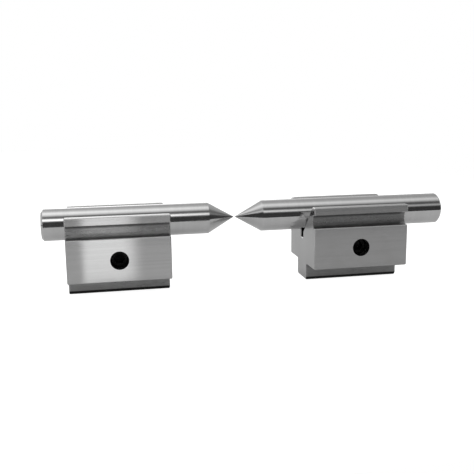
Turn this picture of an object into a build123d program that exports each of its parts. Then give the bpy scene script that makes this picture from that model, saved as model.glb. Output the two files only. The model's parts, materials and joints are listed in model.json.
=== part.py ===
from build123d import *
import math
import os

# Matched pair of V-block centers, standing point to point on one common axis.
# Millimetres. +X runs along the common axis from the left unit to the right one,
# the front is -Y and +Z is up. The origin is under the middle of the set, on the
# plane that both tongues stand on.

# --- driving dimensions: the center pins ---
PIN_DIAMETER = 12.7          # half-inch shank
POINT_ANGLE = 60.0           # included angle of the cone, degrees
POINT_FLAT = 0.12            # diameter left on the very tip
LEFT_PIN_LENGTH = 76.2       # tip to back end
RIGHT_PIN_LENGTH = 88.9
PIN_END_CHAMFER = 0.8
CENTER_HOLE_MOUTH = 5.0      # 60 degree center hole in the back end of each pin
CENTER_HOLE_PILOT = 2.0
CENTER_HOLE_PILOT_DEPTH = 5.5
CENTER_HOLE_DRILL_POINT = 0.6
POINT_GAP = 0.4              # between the two points in the rest position
LEFT_OVERHANG = 27.5         # tip to the near face of its V-block, set by sliding the pin
RIGHT_OVERHANG = 28.9

# --- driving dimensions: the V-blocks ---
BLOCK_LENGTH = 39.5          # along X
BLOCK_DEPTH = 34.2           # front face to back face
BLOCK_HEIGHT = 31.8          # tongue's underside to the top of the V
AXIS_HEIGHT = 27.0           # pin axis above the tongue's underside
V_ANGLE = 90.0
V_CLEARANCE = 0.02           # pin surface to V flank
RELIEF_WIDTH = 3.2           # slot along the bottom of the V
RELIEF_FLOOR_HEIGHT = 17.0
RELIEF_FLOOR_RADIUS = 0.6
FLANGE_THICKNESS = 3.2       # band along the top of each V arm
GROOVE_HEIGHT = 5.1          # side grooves under the flanges
GROOVE_DEPTH = 3.0
GROOVE_RADIUS = 1.8          # inner corners of the side grooves
TONGUE_WIDTH = 12.7
TONGUE_HEIGHT = 6.7
TONGUE_CHAMFER = 0.8         # along both lower edges of the tongue
TONGUE_RELIEF_RADIUS = 0.5   # inner corners beside the tongue
EDGE_BREAK = 0.3             # small chamfer on every outer edge

# --- driving dimensions: magnet, sleeve and set screws in the cross bore ---
BORE_DIAMETER = 7.14
BORE_HEIGHT = 15.0
BORE_COUNTERSINK = 0.25
SLEEVE_LENGTH = 14.0
SLEEVE_WALL = 0.8
SLEEVE_CHAMFER = 0.15
BORE_CLEARANCE = 0.05        # radial, sleeve or set screw in the bore
MAGNET_CLEARANCE = 0.03      # radial, magnet in the sleeve
MAGNET_CHAMFER = 0.3
SCREW_RECESS = 4.5           # outer end of a set screw below the block's face
SCREW_GAP = 0.05             # set screw to sleeve
SCREW_THREAD_DEPTH = 0.45
SCREW_THREADS = 5
SCREW_FLANK_SHARE = 0.4      # of one pitch, taken by each flank of a thread
SOCKET_ACROSS_FLATS = 3.97
SOCKET_DEPTH = 3.0
SOCKET_DRILL_DEPTH = 0.5     # drill point below the flat floor of the socket
SOCKET_DRILL_TIP = 0.2       # radius at the bottom of the drill point

# --- worked out from the dimensions above ---
PIN_RADIUS = PIN_DIAMETER / 2
POINT_LENGTH = (PIN_RADIUS - POINT_FLAT / 2) / math.tan(math.radians(POINT_ANGLE / 2))
HALF_DEPTH = BLOCK_DEPTH / 2
HALF_TONGUE = TONGUE_WIDTH / 2
HALF_RELIEF = RELIEF_WIDTH / 2
V_HALF_ANGLE = math.radians(V_ANGLE / 2)
V_APEX_HEIGHT = AXIS_HEIGHT - (PIN_RADIUS + V_CLEARANCE) / math.sin(V_HALF_ANGLE)
V_HALF_MOUTH = (BLOCK_HEIGHT - V_APEX_HEIGHT) * math.tan(V_HALF_ANGLE)
RELIEF_TOP_HEIGHT = V_APEX_HEIGHT + HALF_RELIEF / math.tan(V_HALF_ANGLE)
GROOVE_TOP_HEIGHT = BLOCK_HEIGHT - FLANGE_THICKNESS
GROOVE_FLOOR_HEIGHT = GROOVE_TOP_HEIGHT - GROOVE_HEIGHT
BORE_RADIUS = BORE_DIAMETER / 2
SLEEVE_RADIUS = BORE_RADIUS - BORE_CLEARANCE
MAGNET_RADIUS = SLEEVE_RADIUS - SLEEVE_WALL - MAGNET_CLEARANCE
SCREW_RADIUS = BORE_RADIUS - BORE_CLEARANCE
SCREW_LENGTH = HALF_DEPTH - SCREW_RECESS - SCREW_GAP - SLEEVE_LENGTH / 2
SIDES = {"left": -1, "right": 1}
POINTS_MIDDLE_X = (LEFT_PIN_LENGTH - RIGHT_PIN_LENGTH) / 2   # halves the overall length at X = 0


def cross_section():
    """Section of a V-block across its length, drawn on the YZ plane."""
    groove_wall = HALF_DEPTH - GROOVE_DEPTH
    chamfered = [
        (HALF_DEPTH, TONGUE_HEIGHT),
        (HALF_DEPTH, GROOVE_FLOOR_HEIGHT),
        (HALF_DEPTH, GROOVE_TOP_HEIGHT),
        (HALF_DEPTH, BLOCK_HEIGHT),
        (V_HALF_MOUTH, BLOCK_HEIGHT),
    ]
    groove_corners = [
        (groove_wall, GROOVE_FLOOR_HEIGHT),
        (groove_wall, GROOVE_TOP_HEIGHT),
    ]
    tongue_foot = (HALF_TONGUE, 0)
    tongue_root = (HALF_TONGUE, TONGUE_HEIGHT)
    relief_corner = (HALF_RELIEF, RELIEF_FLOOR_HEIGHT)
    right_side = [
        tongue_foot,
        tongue_root,
        chamfered[0],
        chamfered[1],
        groove_corners[0],
        groove_corners[1],
        chamfered[2],
        chamfered[3],
        chamfered[4],
        (HALF_RELIEF, RELIEF_TOP_HEIGHT),
        relief_corner,
    ]
    left_side = [(-across, height) for across, height in reversed(right_side)]
    section = make_face(Polyline(*right_side, *left_side, close=True))

    def corners(places):
        wanted = [Vector(side * across, height) for across, height in places for side in (1, -1)]
        return [v for v in section.vertices() if any((v.center() - w).length < 1e-4 for w in wanted)]

    section = chamfer(corners(chamfered), EDGE_BREAK)
    section = chamfer(corners([tongue_foot]), TONGUE_CHAMFER)
    section = fillet(corners(groove_corners), GROOVE_RADIUS)
    section = fillet(corners([tongue_root]), TONGUE_RELIEF_RADIUS)
    section = fillet(corners([relief_corner]), RELIEF_FLOOR_RADIUS)
    return Plane.YZ * section


def cross_bore():
    """Cutter for the bore from the front face to the back face, with its countersunk mouths."""
    bore = Cylinder(BORE_RADIUS, BLOCK_DEPTH + 2)
    mouth_size = BORE_COUNTERSINK * 2
    mouth = Cone(BORE_RADIUS - BORE_COUNTERSINK, BORE_RADIUS + BORE_COUNTERSINK, mouth_size)
    front_mouth = Pos(0, 0, HALF_DEPTH) * mouth
    back_mouth = Pos(0, 0, -HALF_DEPTH) * Rot(180, 0, 0) * mouth
    return Pos(0, 0, BORE_HEIGHT) * Rot(90, 0, 0) * (bore + front_mouth + back_mouth)


def v_block():
    """One-piece ground block: V, relief slot, side grooves, tongue and cross bore."""
    block = extrude(cross_section(), BLOCK_LENGTH / 2, both=True)
    ends = block.faces().sort_by(Axis.X)
    block = chamfer(ends[0].edges() + ends[-1].edges(), EDGE_BREAK)
    return block - cross_bore()


def center_pin(length):
    """Plain ground pin along +X with its tip at the origin and its body towards -X."""
    shoulder = -POINT_LENGTH
    back = -length
    pilot = CENTER_HOLE_PILOT / 2
    mouth = CENTER_HOLE_MOUTH / 2
    countersink = (mouth - pilot) / math.tan(math.radians(POINT_ANGLE / 2))
    half_section = [
        (0, 0),
        (0, POINT_FLAT / 2),
        (shoulder, PIN_RADIUS),
        (back + PIN_END_CHAMFER, PIN_RADIUS),
        (back, PIN_RADIUS - PIN_END_CHAMFER),
        (back, mouth),
        (back + countersink, pilot),
        (back + CENTER_HOLE_PILOT_DEPTH, pilot),
        (back + CENTER_HOLE_PILOT_DEPTH + CENTER_HOLE_DRILL_POINT, 0),
    ]
    return revolve(make_face(Polyline(*half_section, close=True)), Axis.X)


def magnet_sleeve():
    """Non-magnetic sleeve in the cross bore, open at both ends."""
    ring = Circle(SLEEVE_RADIUS) - Circle(SLEEVE_RADIUS - SLEEVE_WALL)
    tube = extrude(ring, SLEEVE_LENGTH / 2, both=True)
    return Rot(90, 0, 0) * chamfer(tube.edges(), SLEEVE_CHAMFER)


def hold_down_magnet():
    """Round bar magnet that fills the sleeve under the pin."""
    bar = Cylinder(MAGNET_RADIUS, SLEEVE_LENGTH)
    return Rot(90, 0, 0) * chamfer(bar.edges().filter_by(GeomType.CIRCLE), MAGNET_CHAMFER)


def set_screw():
    """Headless hexagon-socket screw, its axis along Z and its socket at the +Z end."""
    root = SCREW_RADIUS - SCREW_THREAD_DEPTH
    pitch = SCREW_LENGTH / SCREW_THREADS
    flank = pitch * SCREW_FLANK_SHARE
    outline = [(0, 0), (root, 0)]
    for turn in range(SCREW_THREADS):
        start = turn * pitch
        outline += [
            (SCREW_RADIUS, start + flank),
            (SCREW_RADIUS, start + pitch - flank),
            (root, start + pitch),
        ]
    outline.append((0, SCREW_LENGTH))
    body = revolve(Plane.XZ * make_face(Polyline(*outline, close=True)), Axis.Z)
    socket_radius = SOCKET_ACROSS_FLATS / 2
    socket_face = Pos(0, 0, SCREW_LENGTH) * RegularPolygon(socket_radius, 6, major_radius=False)
    socket = extrude(socket_face, -SOCKET_DEPTH)
    drill_point = Cone(SOCKET_DRILL_TIP, socket_radius, SOCKET_DRILL_DEPTH)
    drill_height = SCREW_LENGTH - SOCKET_DEPTH - SOCKET_DRILL_DEPTH / 2
    return body - socket - Pos(0, 0, drill_height) * drill_point


def unit(side):
    """Pieces of one unit, in place: side is -1 for the left unit and 1 for the right one."""
    pin_length = LEFT_PIN_LENGTH if side < 0 else RIGHT_PIN_LENGTH
    overhang = LEFT_OVERHANG if side < 0 else RIGHT_OVERHANG
    tip_x = POINTS_MIDDLE_X + side * POINT_GAP / 2
    block_x = tip_x + side * (overhang + BLOCK_LENGTH / 2)
    turn = Rot(0, 0, 0 if side < 0 else 180)
    bore_center = Pos(block_x, 0, BORE_HEIGHT)
    screw_seat = SLEEVE_LENGTH / 2 + SCREW_GAP
    return {
        "v_block": Pos(block_x, 0, 0) * turn * v_block(),
        "center_pin": Pos(tip_x, 0, AXIS_HEIGHT) * turn * center_pin(pin_length),
        "magnet_sleeve": bore_center * magnet_sleeve(),
        "hold_down_magnet": bore_center * hold_down_magnet(),
        "front_set_screw": bore_center * Pos(0, -screw_seat, 0) * Rot(90, 0, 0) * set_screw(),
        "rear_set_screw": bore_center * Pos(0, screw_seat, 0) * Rot(-90, 0, 0) * set_screw(),
    }


os.makedirs("parts", exist_ok=True)
for side_name, side in SIDES.items():
    for piece_name, shape in unit(side).items():
        export_step(shape, f"parts/{side_name}_{piece_name}.step")
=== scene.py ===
"""Looks for the matched pair of V-block centers. Metres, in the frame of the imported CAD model."""
import json
import math

import bpy
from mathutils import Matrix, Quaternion, Vector


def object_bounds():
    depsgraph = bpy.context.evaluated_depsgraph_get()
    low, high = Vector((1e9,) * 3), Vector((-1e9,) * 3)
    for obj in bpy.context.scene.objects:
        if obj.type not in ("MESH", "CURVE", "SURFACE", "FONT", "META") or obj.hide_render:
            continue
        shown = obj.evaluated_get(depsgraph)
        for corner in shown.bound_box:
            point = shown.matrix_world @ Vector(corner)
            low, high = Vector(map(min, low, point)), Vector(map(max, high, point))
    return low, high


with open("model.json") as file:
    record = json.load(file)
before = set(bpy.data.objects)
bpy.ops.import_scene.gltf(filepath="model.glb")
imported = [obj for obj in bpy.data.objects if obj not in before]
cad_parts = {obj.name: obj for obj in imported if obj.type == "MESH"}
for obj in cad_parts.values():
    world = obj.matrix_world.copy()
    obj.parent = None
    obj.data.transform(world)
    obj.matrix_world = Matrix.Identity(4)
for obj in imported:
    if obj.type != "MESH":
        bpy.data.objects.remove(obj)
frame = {"nodes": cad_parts, "record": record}

cad_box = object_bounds()
SIDES = ("left", "right")
MM = 0.001

# --- camera ---
CAMERA_PLACE = Vector((-0.0600, -0.2765, 0.0743))
CAMERA_AIM = Vector((-0.0052, 0.0, 0.0184))
CAMERA_ROLL = math.radians(-0.66)
CAMERA_LENS = 52.8

# --- floor ---
FLOOR_LOW = (-0.60, -0.155)      # near left corner; in front of it the room is dark, as the pins show
FLOOR_HIGH = (0.27, 0.80)
FLOOR_COLOUR = 0.55
FLOOR_GLOW = 0.23         # the floor is lit from below as well, so the steps beside the tongues aren't black
FLOOR_LIFT = 0.95         # keeps the floor pale where the camera looks at it, under any shadow

# --- room: light level by direction, from the front horizon (0) over the top to the back horizon (180) ---
ROOM_PEAK = 2.2
ROOM_SIDES = (-0.65, -0.15, 0.45, 0.85)    # how far to the right each column of levels is seen
ROOM_BANDS = (            # degrees, then the level in each column
    (0, 0.05, 0.06, 0.05, 0.04),
    (24, 0.05, 0.055, 0.045, 0.04),
    (31, 0.30, 0.45, 0.14, 0.05),
    (35, 0.75, 2.16, 0.50, 0.05),
    (44, 0.75, 2.16, 0.50, 0.05),
    (50, 0.50, 0.50, 0.16, 0.05),
    (56, 0.40, 0.21, 0.10, 0.06),
    (64, 0.42, 0.24, 0.14, 0.20),
    (74, 0.85, 0.90, 0.55, 0.30),
    (86, 1.10, 1.38, 0.90, 0.22),
    (97, 1.10, 1.47, 0.94, 0.16),
    (108, 0.80, 0.96, 0.62, 0.20),
    (124, 0.60, 0.63, 0.46, 0.45),
    (150, 0.60, 0.60, 0.50, 0.60),
    (162, 1.20, 2.20, 0.57, 0.60),
    (180, 1.20, 2.20, 0.57, 0.60),
)
ROOM_SKEW = 12.0          # degrees that the bands sink towards the right
BACKGROUND = 1.0

# --- low lamps in front that light the two blocks only: name, place, width, height, power ---
LAMPS = (
    ("low_fill_left", (-0.26, -0.60, 0.0), 0.88, 0.12, 0.28),
    ("low_fill_right", (0.58, -0.60, 0.0), 0.80, 0.12, 0.10),
)

# --- a bright fan of floor in front of the left block, for the pale upright band on its front face ---
FAN_NEAR, FAN_FAR = -0.040, -0.28     # Y of its two ends
FAN_APEX = (-0.060, 0.242)            # X, Y of the point that the fan opens from
FAN_LEFT = (-0.034, -0.022)           # slopes between which the left edge fades in
FAN_RIGHT = (0.030, 0.060)            # and the right edge fades out
FAN_LEVELS = (0.78, 1.82)             # at the near and at the far end
FAN_RISE = 0.3 * MM                   # above the floor
APRON_SLOPES = (-0.20, 0.30)          # the fan lies on a wider, fainter apron between these slopes,
APRON_FAR = -0.125                    # which fades out from the near end to this Y
APRON_LEVEL = 0.21

# --- edges and corners ---
WORN_WIDTH = 0.25 * MM                # how far from an edge of a block handling has polished it, which is also the width of the painted edge highlight
PIN_WORN_WIDTH = 0.2 * MM
SMALL_WORN_WIDTH = 0.15 * MM          # on the screws, magnets and sleeves
WORN_TURN = (0.995, 0.90)             # cosine of the turn at which wear starts, and at which it is full
RECESS_DEPTH = 2.5 * MM               # reach of the test for grooves and corners
RECESS_OPEN = (0.45, 1.0)             # openness where the painted shade is darkest, and where there is none
FOOT_HEIGHT = (1.1 * MM, 1.5 * MM)    # the painted black shade of the tongue's lower chamfers fades out between these
MASK_EDGE = 0.2 * MM                  # softness of the border between ground and milled faces

# --- steel of the blocks: darkest and lightest grey, or one grey ---
GROUND_TONES = (0.395, 0.425)
STAIN_TONE = 0.36
# lighter steel at the block edges: handling wear, and partly a painted edge highlight
EDGE_WEAR_AND_HIGHLIGHT_TONE = 0.62
# greys of the milled grooves and tongue: partly a duller finish, partly painted shade under the flanges and
# the overhang
GROOVE_SHADED_TONES = (0.22, 0.30)
TONGUE_SHADED_TONES = (0.27, 0.35)
# painted shade: near black on the tongue's lower chamfers
FOOT_SHADE_TONE = 0.02
# painted shade: the grey that grooves and corners darken to
RECESS_SHADE_TONE = 0.11
GROUND_ROUGHNESS = (0.138, 0.150)
STAIN_ROUGHNESS = 0.015               # added where the face is stained
WORN_ROUGHNESS = 0.17
MILLED_ROUGHNESS = (0.27, 0.31)

# --- directions of the polish; the small Z is what is left of them on an end face ---
SLIGHTLY_UP = (0.0, 0.0, 0.001)
ALONG_THE_PIN = (1.0, 0.0, 0.001)

# --- steel of the pins ---
PIN_TONES = (0.565, 0.59)
PIN_WORN_TONE = 0.8
PIN_ROUGHNESS = (0.11, 0.19)


class Graph:
    """Short calls for building a node tree."""

    def __init__(self, tree):
        self.tree = tree
        tree.nodes.clear()

    def node(self, kind, settings=None, **inputs):
        made = self.tree.nodes.new(kind)
        for name, value in (settings or {}).items():
            setattr(made, name, value)
        for name, value in inputs.items():
            self.feed(made.inputs[self.socket(made, name)], value)
        return made

    @staticmethod
    def socket(made, name):
        if name.startswith("in_"):
            return int(name[3:])
        return name.replace("_", " ")

    def feed(self, socket, value):
        if isinstance(value, bpy.types.NodeSocket):
            self.tree.links.new(value, socket)
        else:
            socket.default_value = value

    def math(self, operation, a, b=0.0, clamp=False):
        settings = {"operation": operation, "use_clamp": clamp}
        return self.node("ShaderNodeMath", settings, in_0=a, in_1=b).outputs[0]

    def vector(self, operation, a, b):
        made = self.node("ShaderNodeVectorMath", {"operation": operation}, in_0=a, in_1=b)
        return made.outputs["Value" if operation == "DOT_PRODUCT" else "Vector"]

    def noise(self, coords, scale, detail=2.0, roughness=0.5):
        stretched = self.vector("MULTIPLY", coords, scale)
        made = self.node(
            "ShaderNodeTexNoise", None, Vector=stretched, Scale=1.0, Detail=detail, Roughness=roughness
        )
        return made.outputs["Fac"]

    def remap(self, value, low, high, to_low, to_high):
        made = self.node(
            "ShaderNodeMapRange",
            {"interpolation_type": "SMOOTHSTEP"},
            Value=value,
            From_Min=low,
            From_Max=high,
            To_Min=to_low,
            To_Max=to_high,
        )
        return made.outputs["Result"]

    def mix(self, factor, a, b):
        made = self.node("ShaderNodeMix", {"data_type": "FLOAT"}, in_0=factor, in_2=a, in_3=b)
        return made.outputs[0]

    def mix_colour(self, factor, a, b):
        made = self.node("ShaderNodeMix", {"data_type": "RGBA"}, in_0=factor, in_6=a, in_7=b)
        return made.outputs[2]

    def blend_greys(self, factor, tones):
        return self.mix_colour(factor, grey(tones[0]), grey(tones[1]))


def new_material(name):
    made = bpy.data.materials.new(name)
    made.use_nodes = True
    return made, Graph(made.node_tree)


def grey(value, warmth=0.0):
    return (value * (1 + warmth), value, value * (1 - warmth), 1.0)


def edge_mask(graph, radius):
    """1 where the surface turns within the radius, which is where handling polishes an edge, and on the
    blocks also where a painted edge highlight goes.
    """
    rounded = graph.node("ShaderNodeBevel", {"samples": 4}, Radius=radius).outputs["Normal"]
    plain = graph.node("ShaderNodeNewGeometry").outputs["Normal"]
    facing = graph.vector("DOT_PRODUCT", rounded, plain)
    return graph.remap(facing, WORN_TURN[0], WORN_TURN[1], 0.0, 1.0)


def end_face_mask(graph):
    """1 on faces square to X, where the grinding runs across the block and not along it."""
    normal = graph.node("ShaderNodeNewGeometry").outputs["Normal"]
    along = graph.math("ABSOLUTE", graph.node("ShaderNodeSeparateXYZ", None, Vector=normal).outputs["X"])
    return graph.remap(along, 0.8, 0.95, 0.0, 1.0)


def recess_shade_mask(graph):
    """0 deep in a groove or corner, where shade is painted into the colour, and 1 on an open face."""
    made = graph.node("ShaderNodeAmbientOcclusion", {"samples": 6, "only_local": True}, Distance=RECESS_DEPTH)
    return graph.remap(made.outputs["AO"], RECESS_OPEN[0], RECESS_OPEN[1], 0.0, 1.0)


def opening(name):
    """Box of a named opening of the record, as its low and high corner."""
    boxes = {item["name"]: item["box_m"] for item in frame["record"]["physics"]["openings"]}
    return boxes[name]


def unground_masks(graph, coords, ends):
    """Where the side grooves and the tongue are; both are milled and left as they come from hardening, and
    their darker grey is partly painted shade.
    """
    place = graph.node("ShaderNodeSeparateXYZ", None, Vector=coords).outputs
    height = place["Z"]
    across = graph.math("ABSOLUTE", place["Y"])
    (_, _, groove_low), (_, _, groove_high) = opening("left_rear_clamp_groove")
    (_, groove_wall, _), _ = opening("left_rear_clamp_groove")
    step_top = opening("left_front_table_step")[1][2]
    soft = MASK_EDGE
    above = graph.remap(height, groove_low - 2 * soft, groove_low - soft, 0.0, 1.0)
    below = graph.remap(height, groove_high + soft, groove_high + 2 * soft, 1.0, 0.0)
    outside = graph.remap(across, groove_wall - 5 * soft, groove_wall, 0.0, 1.0)
    in_groove = graph.math("MULTIPLY", graph.math("MULTIPLY", above, below), outside)
    on_tongue = graph.remap(height, step_top, step_top + 2 * soft, 1.0, 0.0)
    sides = graph.math("SUBTRACT", 1.0, ends)
    return graph.math("MULTIPLY", in_groove, sides), graph.math("MULTIPLY", on_tongue, sides)


def foot_shade_mask(graph, coords):
    """1 along the lower chamfers of the tongue, where the shade under the block is painted near black."""
    height = graph.node("ShaderNodeSeparateXYZ", None, Vector=coords).outputs["Z"]
    return graph.remap(height, FOOT_HEIGHT[0], FOOT_HEIGHT[1], 1.0, 0.0)


def across_the_grinding(graph):
    """Direction in the surface square to the grinding lines, which run along X."""
    normal = graph.node("ShaderNodeNewGeometry").outputs["Normal"]
    across = graph.vector("CROSS_PRODUCT", normal, (1.0, 0.0, 0.0))
    return graph.vector("ADD", across, SLIGHTLY_UP)


def ground_steel():
    material, graph = new_material("ground_tool_steel")
    coords = graph.node("ShaderNodeTexCoord").outputs["Object"]
    ends = end_face_mask(graph)
    fine = graph.mix(ends, graph.noise(coords, (60, 7000, 7000), 3), graph.noise(coords, (60, 5200, 90), 3))
    broad = graph.mix(ends, graph.noise(coords, (25, 1300, 1300), 2), graph.noise(coords, (20, 900, 40), 2))
    blotch = graph.noise(coords, (90, 90, 90), 3, 0.6)
    mottle = graph.noise(coords, (260, 900, 900), 4, 0.6)
    groove, tongue = unground_masks(graph, coords, ends)
    unground = graph.math("MAXIMUM", groove, tongue)
    worn = edge_mask(graph, WORN_WIDTH)

    tone = graph.blend_greys(graph.remap(broad, 0.3, 0.7, 0.0, 1.0), GROUND_TONES)
    tone = graph.mix_colour(graph.remap(blotch, 0.45, 0.75, 0.0, 0.35), tone, grey(STAIN_TONE, 0.01))
    # painted highlight along the block edges, on top of real handling wear
    tone = graph.mix_colour(graph.math("MULTIPLY", worn, 0.8), tone, grey(EDGE_WEAR_AND_HIGHLIGHT_TONE))
    patchy = graph.remap(mottle, 0.25, 0.75, 0.0, 1.0)
    # milled tone: a duller finish, darkened further as painted shade in the grooves under the flanges and on
    # the tongue under the overhang
    milled = graph.mix_colour(
        tongue, graph.blend_greys(patchy, GROOVE_SHADED_TONES), graph.blend_greys(patchy, TONGUE_SHADED_TONES)
    )
    tone = graph.mix_colour(graph.math("MULTIPLY", unground, graph.math("SUBTRACT", 1.0, worn)), tone, milled)
    # painted shade: the tongue's lower chamfers are coloured near black
    tone = graph.mix_colour(graph.math("MULTIPLY", foot_shade_mask(graph, coords), tongue), tone, grey(FOOT_SHADE_TONE))
    # painted shade: the colour darkens deep in grooves and corners, where shade falls
    tone = graph.mix_colour(recess_shade_mask(graph), grey(RECESS_SHADE_TONE), tone)
    roughness = graph.remap(broad, 0.2, 0.8, GROUND_ROUGHNESS[0], GROUND_ROUGHNESS[1])
    roughness = graph.math("ADD", roughness, graph.remap(blotch, 0.5, 0.8, 0.0, STAIN_ROUGHNESS))
    roughness = graph.mix(worn, roughness, WORN_ROUGHNESS)
    rough = graph.remap(mottle, 0.25, 0.75, MILLED_ROUGHNESS[0], MILLED_ROUGHNESS[1])
    roughness = graph.mix(unground, roughness, rough)
    relief = graph.math("ADD", fine, graph.math("MULTIPLY", broad, 0.12))
    bump = graph.node("ShaderNodeBump", None, Strength=0.15, Distance=0.02 * MM, Height=relief)
    shader = graph.node(
        "ShaderNodeBsdfPrincipled",
        None,
        Base_Color=tone,
        Metallic=1.0,
        Roughness=roughness,
        Anisotropic=1.0,
        Normal=bump.outputs["Normal"],
        Tangent=across_the_grinding(graph),
    )
    graph.node("ShaderNodeOutputMaterial", None, Surface=shader.outputs[0])
    return material


def polished_steel():
    material, graph = new_material("polished_hardened_steel")
    coords = graph.node("ShaderNodeTexCoord").outputs["Object"]
    rings = graph.noise(coords, (6500, 40, 40), 3)
    bands = graph.noise(coords, (700, 15, 15), 2)
    smudge = graph.noise(coords, (70, 140, 140), 3, 0.65)
    worn = edge_mask(graph, PIN_WORN_WIDTH)
    tone = graph.blend_greys(graph.remap(bands, 0.3, 0.7, 0.0, 1.0), PIN_TONES)
    tone = graph.mix_colour(graph.math("MULTIPLY", worn, 0.5), tone, grey(PIN_WORN_TONE))
    roughness = graph.remap(smudge, 0.45, 0.8, PIN_ROUGHNESS[0], PIN_ROUGHNESS[1])
    roughness = graph.math("ADD", roughness, graph.remap(bands, 0.2, 0.8, 0.0, 0.03))
    relief = graph.math("ADD", rings, graph.math("MULTIPLY", bands, 0.4))
    bump = graph.node("ShaderNodeBump", None, Strength=0.05, Distance=0.01 * MM, Height=relief)
    shader = graph.node(
        "ShaderNodeBsdfPrincipled",
        None,
        Base_Color=tone,
        Metallic=1.0,
        Roughness=roughness,
        Anisotropic=0.4,
        Normal=bump.outputs["Normal"],
        Tangent=ALONG_THE_PIN,
    )
    graph.node("ShaderNodeOutputMaterial", None, Surface=shader.outputs[0])
    return material


def plain_metal(name, dark, light, roughness, grain):
    """A small hidden or black part: mottled tone, uneven gloss and a fine grain."""
    material, graph = new_material(name)
    coords = graph.node("ShaderNodeTexCoord").outputs["Object"]
    mottle = graph.noise(coords, (900, 900, 900), 4, 0.6)
    grains = graph.noise(coords, (grain, grain, grain), 2)
    worn = edge_mask(graph, SMALL_WORN_WIDTH)
    tone = graph.mix_colour(graph.remap(mottle, 0.3, 0.7, 0.0, 1.0), dark, light)
    lifted = tuple(min(1.0, 1.6 * channel + 0.02) for channel in light[:3]) + (1.0,)
    tone = graph.mix_colour(graph.math("MULTIPLY", worn, 0.4), tone, lifted)
    gloss = graph.remap(mottle, 0.25, 0.75, roughness - 0.06, roughness + 0.06)
    bump = graph.node("ShaderNodeBump", None, Strength=0.15, Distance=0.02 * MM, Height=grains)
    shader = graph.node(
        "ShaderNodeBsdfPrincipled",
        None,
        Base_Color=tone,
        Metallic=1.0,
        Roughness=gloss,
        Normal=bump.outputs["Normal"],
    )
    graph.node("ShaderNodeOutputMaterial", None, Surface=shader.outputs[0])
    return material


def dress(piece_name, material):
    for side in SIDES:
        slots = frame["nodes"][f"{side}_{piece_name}"].material_slots
        for slot in slots:
            slot.material = material


def low_lamp(name, place, width, height, power):
    """Soft lamp that faces the back, which is +Y."""
    data = bpy.data.lights.new(name, "AREA")
    data.shape = "RECTANGLE"
    data.size = width
    data.size_y = height
    data.energy = power
    made = bpy.data.objects.new(name, data)
    made.location = place
    made.rotation_euler.x = math.radians(90)
    made.visible_camera = False
    bpy.context.scene.collection.objects.link(made)
    return made


def floor():
    (x0, y0), (x1, y1) = FLOOR_LOW, FLOOR_HIGH
    mesh = bpy.data.meshes.new("floor")
    corners = [(x0, y0, 0), (x1, y0, 0), (x1, y1, 0), (x0, y1, 0)]
    mesh.from_pydata(corners, [], [(0, 1, 2, 3)])
    made = bpy.data.objects.new("floor", mesh)
    made.location.z = cad_box[0][2]
    bpy.context.scene.collection.objects.link(made)
    material, graph = new_material("pale_floor")
    seen = graph.node("ShaderNodeLightPath").outputs["Is Camera Ray"]
    shader = graph.node(
        "ShaderNodeBsdfPrincipled",
        None,
        Base_Color=grey(FLOOR_COLOUR),
        Roughness=0.9,
        Emission_Color=grey(1.0),
        Emission_Strength=graph.mix(seen, FLOOR_GLOW, FLOOR_LIFT),
    )
    graph.node("ShaderNodeOutputMaterial", None, Surface=shader.outputs[0])
    mesh.materials.append(material)


def floor_fan():
    """Sheet of light just above the floor, which the blocks reflect and the camera doesn't see."""
    apex_x, apex_y = FAN_APEX
    corners = []
    for y, slopes in ((FAN_NEAR, APRON_SLOPES), (FAN_FAR, APRON_SLOPES[::-1])):
        corners += [(apex_x + slope * (apex_y - y), y, 0) for slope in slopes]
    mesh = bpy.data.meshes.new("floor_fan")
    mesh.from_pydata(corners, [], [(0, 1, 2, 3)])
    made = bpy.data.objects.new("floor_fan", mesh)
    made.location.z = cad_box[0][2] + FAN_RISE
    made.visible_camera = False
    made.visible_shadow = False
    bpy.context.scene.collection.objects.link(made)
    material, graph = new_material("floor_fan")
    coords = graph.node("ShaderNodeTexCoord").outputs["Object"]
    place = graph.node("ShaderNodeSeparateXYZ", None, Vector=coords).outputs
    sideways = graph.math("SUBTRACT", place["X"], apex_x)
    slope = graph.math("DIVIDE", sideways, graph.math("SUBTRACT", apex_y, place["Y"]))
    left = graph.remap(slope, FAN_LEFT[0], FAN_LEFT[1], 0.0, 1.0)
    right = graph.remap(slope, FAN_RIGHT[0], FAN_RIGHT[1], 1.0, 0.0)
    level = graph.remap(place["Y"], FAN_FAR, FAN_NEAR, FAN_LEVELS[1], FAN_LEVELS[0])
    level = graph.math("MULTIPLY", graph.math("MULTIPLY", left, right), level)
    level = graph.math("ADD", level, graph.remap(place["Y"], APRON_FAR, FAN_NEAR, 0.0, APRON_LEVEL))
    glow = graph.node("ShaderNodeEmission", None, Strength=level)
    clear = graph.node("ShaderNodeBsdfTransparent")
    both = graph.node("ShaderNodeAddShader", None, in_0=glow.outputs[0], in_1=clear.outputs[0])
    graph.node("ShaderNodeOutputMaterial", None, Surface=both.outputs[0])
    mesh.materials.append(material)
    return made


def lamps_for_the_blocks():
    blocks = bpy.data.collections.new("lamp_receivers")
    for side in SIDES:
        blocks.objects.link(frame["nodes"][f"{side}_v_block"])
    for lamp in [low_lamp(*row) for row in LAMPS] + [floor_fan()]:
        lamp.light_linking.receiver_collection = blocks


def room_ramp(graph, place, column):
    """Level at a place between the front horizon (0) and the back one (1), as a share of the peak."""
    ramp = graph.node("ShaderNodeValToRGB", None, Fac=place)
    stops = ramp.color_ramp.elements
    while len(stops) < len(ROOM_BANDS):
        stops.new(1.0)
    for stop, band in zip(stops, ROOM_BANDS):
        stop.position = band[0] / 180
        stop.color = grey(band[column] / ROOM_PEAK)
    return ramp.outputs["Color"]


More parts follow.
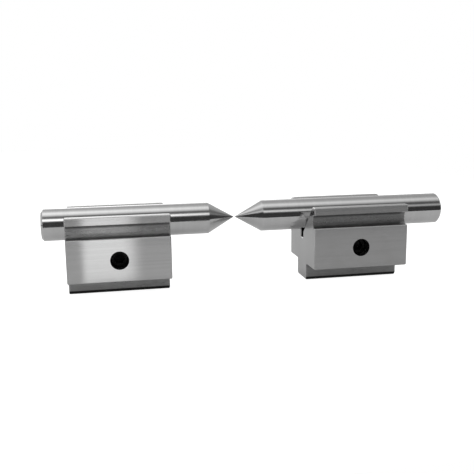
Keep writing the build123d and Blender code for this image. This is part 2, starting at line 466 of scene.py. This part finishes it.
def room():
    """Pale background; in reflections a bright ceiling, one bright band in front and a dark front wall."""
    world = bpy.data.worlds.new("room")
    bpy.context.scene.world = world
    world.use_nodes = True
    graph = Graph(world.node_tree)
    direction = graph.node("ShaderNodeTexCoord").outputs["Generated"]
    parts = graph.node("ShaderNodeSeparateXYZ", None, Vector=direction).outputs
    forward = graph.math("MULTIPLY", parts["Y"], -1.0)
    angle = graph.math("DEGREES", graph.math("ARCTAN2", parts["Z"], forward))
    angle = graph.math("ADD", angle, graph.math("MULTIPLY", parts["X"], ROOM_SKEW))
    place = graph.math("DIVIDE", angle, 180.0, clamp=True)
    level = room_ramp(graph, place, 1)
    for column in range(1, len(ROOM_SIDES)):
        share = graph.remap(parts["X"], ROOM_SIDES[column - 1], ROOM_SIDES[column], 0.0, 1.0)
        level = graph.mix(share, level, room_ramp(graph, place, column + 1))
    level = graph.math("MULTIPLY", level, ROOM_PEAK)
    seen = graph.node("ShaderNodeLightPath").outputs["Is Camera Ray"]
    level = graph.mix(seen, level, BACKGROUND)
    colour = graph.node("ShaderNodeCombineColor", None, Red=level, Green=level, Blue=level)
    shader = graph.node("ShaderNodeBackground", None, Color=colour.outputs[0], Strength=1.0)
    graph.node("ShaderNodeOutputWorld", None, Surface=shader.outputs[0])


def camera():
    data = bpy.data.cameras.new("camera")
    data.lens = CAMERA_LENS
    data.sensor_width = 36.0
    data.clip_start = 0.005
    made = bpy.data.objects.new("camera", data)
    made.rotation_mode = "QUATERNION"
    aim = (CAMERA_AIM - CAMERA_PLACE).to_track_quat("-Z", "Y")
    made.rotation_quaternion = aim @ Quaternion((0, 0, 1), CAMERA_ROLL)
    made.location = CAMERA_PLACE
    bpy.context.scene.collection.objects.link(made)
    bpy.context.scene.camera = made


bpy.context.scene.view_settings.view_transform = "Standard"
camera()
floor()
room()
lamps_for_the_blocks()

dress("v_block", ground_steel())
dress("center_pin", polished_steel())
black_oxide = plain_metal("black_oxide_steel", grey(0.010), grey(0.022), 0.42, 5200)
dress("front_set_screw", black_oxide)
dress("rear_set_screw", black_oxide)
dress("hold_down_magnet", plain_metal("alnico_magnet", grey(0.16), grey(0.26), 0.42, 3800))
dress("magnet_sleeve", plain_metal("brass_sleeve", (0.58, 0.40, 0.16, 1), (0.70, 0.51, 0.23, 1), 0.26, 4500))
